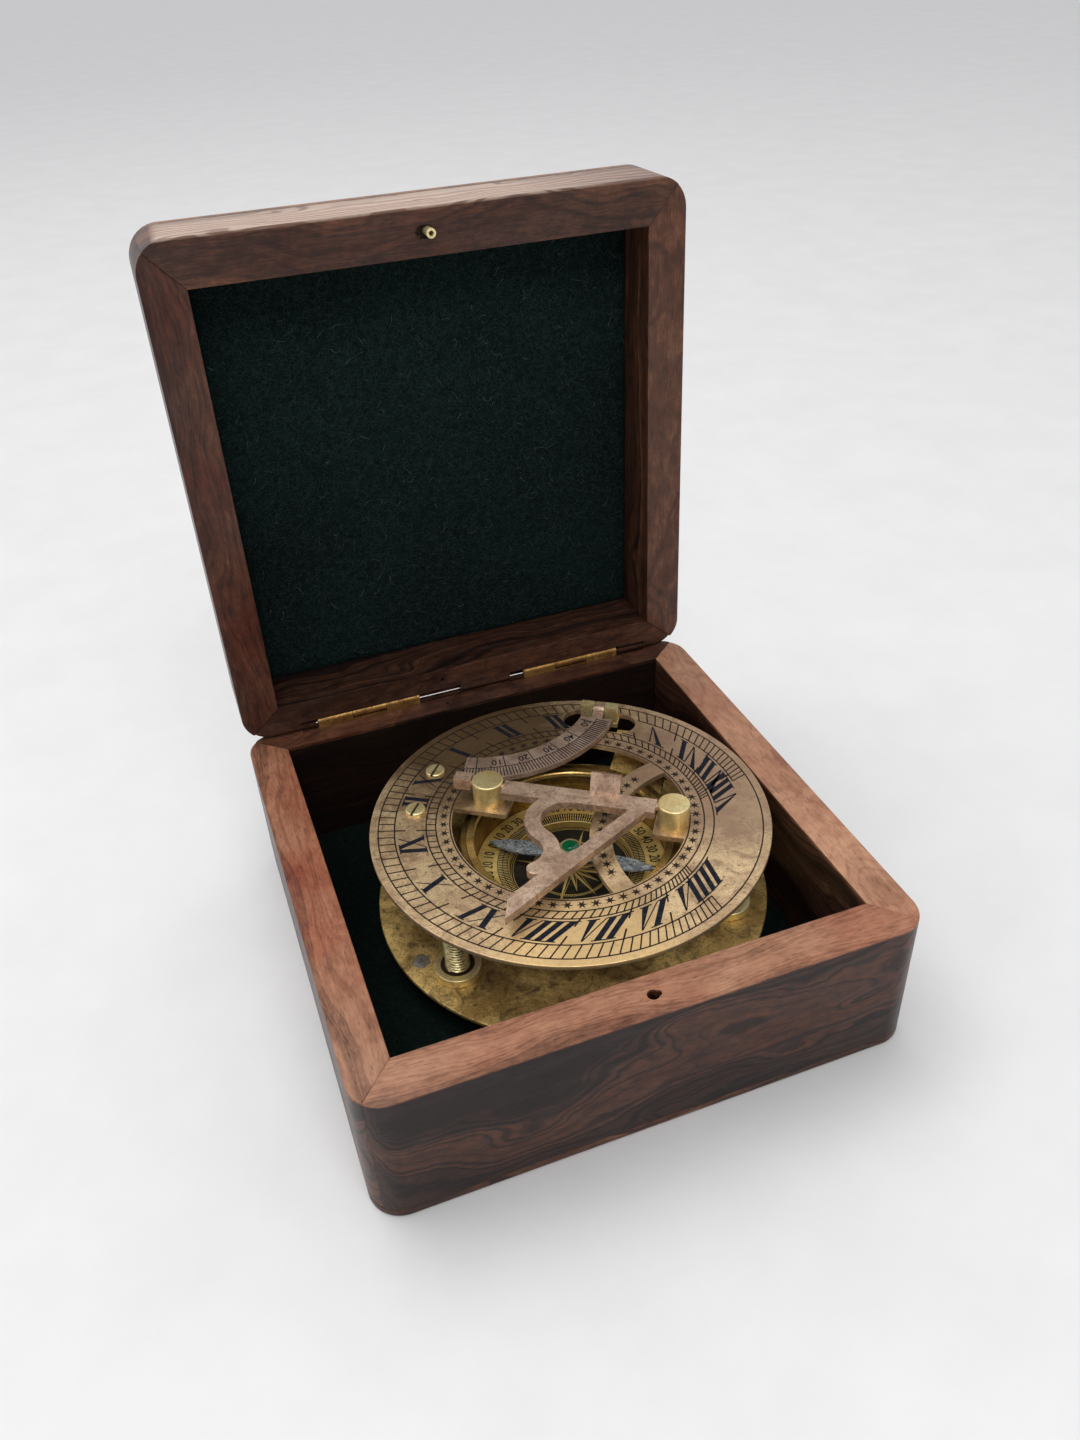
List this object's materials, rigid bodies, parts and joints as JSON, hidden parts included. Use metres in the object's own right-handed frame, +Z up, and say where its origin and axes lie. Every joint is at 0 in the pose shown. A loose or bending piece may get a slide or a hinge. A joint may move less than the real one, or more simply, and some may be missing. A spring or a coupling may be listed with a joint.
{
  "type": "boxed sundial compass",
  "caption": "Mitred wooden box with a felt-lined hinged lid, holding a brass compass on levelling screws under a tilting hour dial with a folding gnomon and latitude arc.",
  "frame": {"origin": "middle of the box's underside", "axes": "+X to the box's right, +Y to the hinges, +Z up; the lid stands open in the rest pose"},
  "size_m": [0.127, 0.1472, 0.1639],
  "materials": {
    "rosewood": "satin, oiled rosewood",
    "base_felt": "near-black green felt",
    "lid_felt": "dark green felt",
    "hinge_brass": "dull brass",
    "plate_brass": "blotchy aged brass",
    "turned_brass": "worn turned brass",
    "card_brass": "darkened engraved brass",
    "dial_brass": "pink-brown tarnished brass",
    "gnomon_brass": "coppery tarnished brass",
    "needle_metal": "mottled silver",
    "jewel": "polished green stone",
    "glass": "clear flat glass"
  },
  "bodies": {
    "box": {"base_front_board": "rosewood", "base_back_board": "rosewood", "base_left_board": "rosewood", "base_right_board": "rosewood", "base_bottom_board": "rosewood", "base_felt": "base_felt", "left_hinge_base_leaf": "hinge_brass", "right_hinge_base_leaf": "hinge_brass", "left_hinge_pin": "hinge_brass", "right_hinge_pin": "hinge_brass"},
    "lid": {"lid_front_board": "rosewood", "lid_back_board": "rosewood", "lid_left_board": "rosewood", "lid_right_board": "rosewood", "lid_top_panel": "rosewood", "lid_felt": "lid_felt", "left_hinge_lid_leaf": "hinge_brass", "right_hinge_lid_leaf": "hinge_brass", "closing_pin": "hinge_brass"},
    "instrument": {"base_plate": "plate_brass", "screw_bushes": "turned_brass", "dial_hinge_bracket": "plate_brass", "dial_hinge_pin": "turned_brass", "bracket_screws": "turned_brass", "compass_bowl": "plate_brass", "compass_card": "card_brass", "degree_ring": "turned_brass", "compass_glass": "glass", "glass_bezel": "plate_brass", "needle_pivot": "plate_brass", "dial_rest": "plate_brass"},
    "level_screw_one": {"level_screw_1": "turned_brass"},
    "level_screw_two": {"level_screw_2": "turned_brass"},
    "level_screw_three": {"level_screw_3": "turned_brass"},
    "needle": {"compass_needle": "needle_metal", "needle_cap": "turned_brass", "cap_jewel": "jewel"},
    "dial": {"dial_plate": "dial_brass", "dial_hinge_leaf": "plate_brass", "dial_screws": "turned_brass", "noon_knob": "turned_brass", "pole_knob": "turned_brass", "arc_posts": "plate_brass", "arc_pin": "turned_brass"},
    "gnomon_body": {"gnomon": "gnomon_brass"},
    "arc": {"latitude_arc": "dial_brass"}
  },
  "joints": [
    {"name": "lid_hinge", "type": "hinge", "parent": "box", "child": "lid", "pos_m": [0, 0.06215, 0.03825], "axis": [1, 0, 0], "range_deg": [0, 91.2]},
    {"name": "instrument_lift", "type": "slide", "parent": "box", "child": "instrument", "axis": [0, 0, 1], "range_m": [0, 0.06]},
    {"name": "level_screw_one_turn", "type": "hinge", "parent": "instrument", "child": "level_screw_one", "pos_m": [-0.03063, -0.01753, 0.02], "axis": [0, 0, 1], "continuous": true},
    {"name": "level_screw_two_turn", "type": "hinge", "parent": "instrument", "child": "level_screw_two", "pos_m": [0.0367, -0.02295, 0.02], "axis": [0, 0, 1], "continuous": true},
    {"name": "level_screw_three_turn", "type": "hinge", "parent": "instrument", "child": "level_screw_three", "pos_m": [0.00773, 0.03807, 0.02], "axis": [0, 0, 1], "continuous": true},
    {"name": "needle_turn", "type": "hinge", "parent": "instrument", "child": "needle", "pos_m": [0.0046, -0.0008, 0.0245], "axis": [0, 0, 1], "continuous": true},
    {"name": "dial_tilt", "type": "hinge", "parent": "instrument", "child": "dial", "pos_m": [-0.0294, 0.02265, 0.0346], "axis": [-0.5678, -0.8231, 0], "range_deg": [0, 60]},
    {"name": "gnomon_raise", "type": "hinge", "parent": "dial", "child": "gnomon_body", "pos_m": [0.00559, 0.00064, 0.0423], "axis": [-0.8231, 0.5678, 0], "range_deg": [0, 90]},
    {"name": "latitude_arc_raise", "type": "hinge", "parent": "dial", "child": "arc", "pos_m": [0.0273, 0.03432, 0.03945], "axis": [-0.8231, 0.5678, 0], "range_deg": [0, 90]}
  ]
}
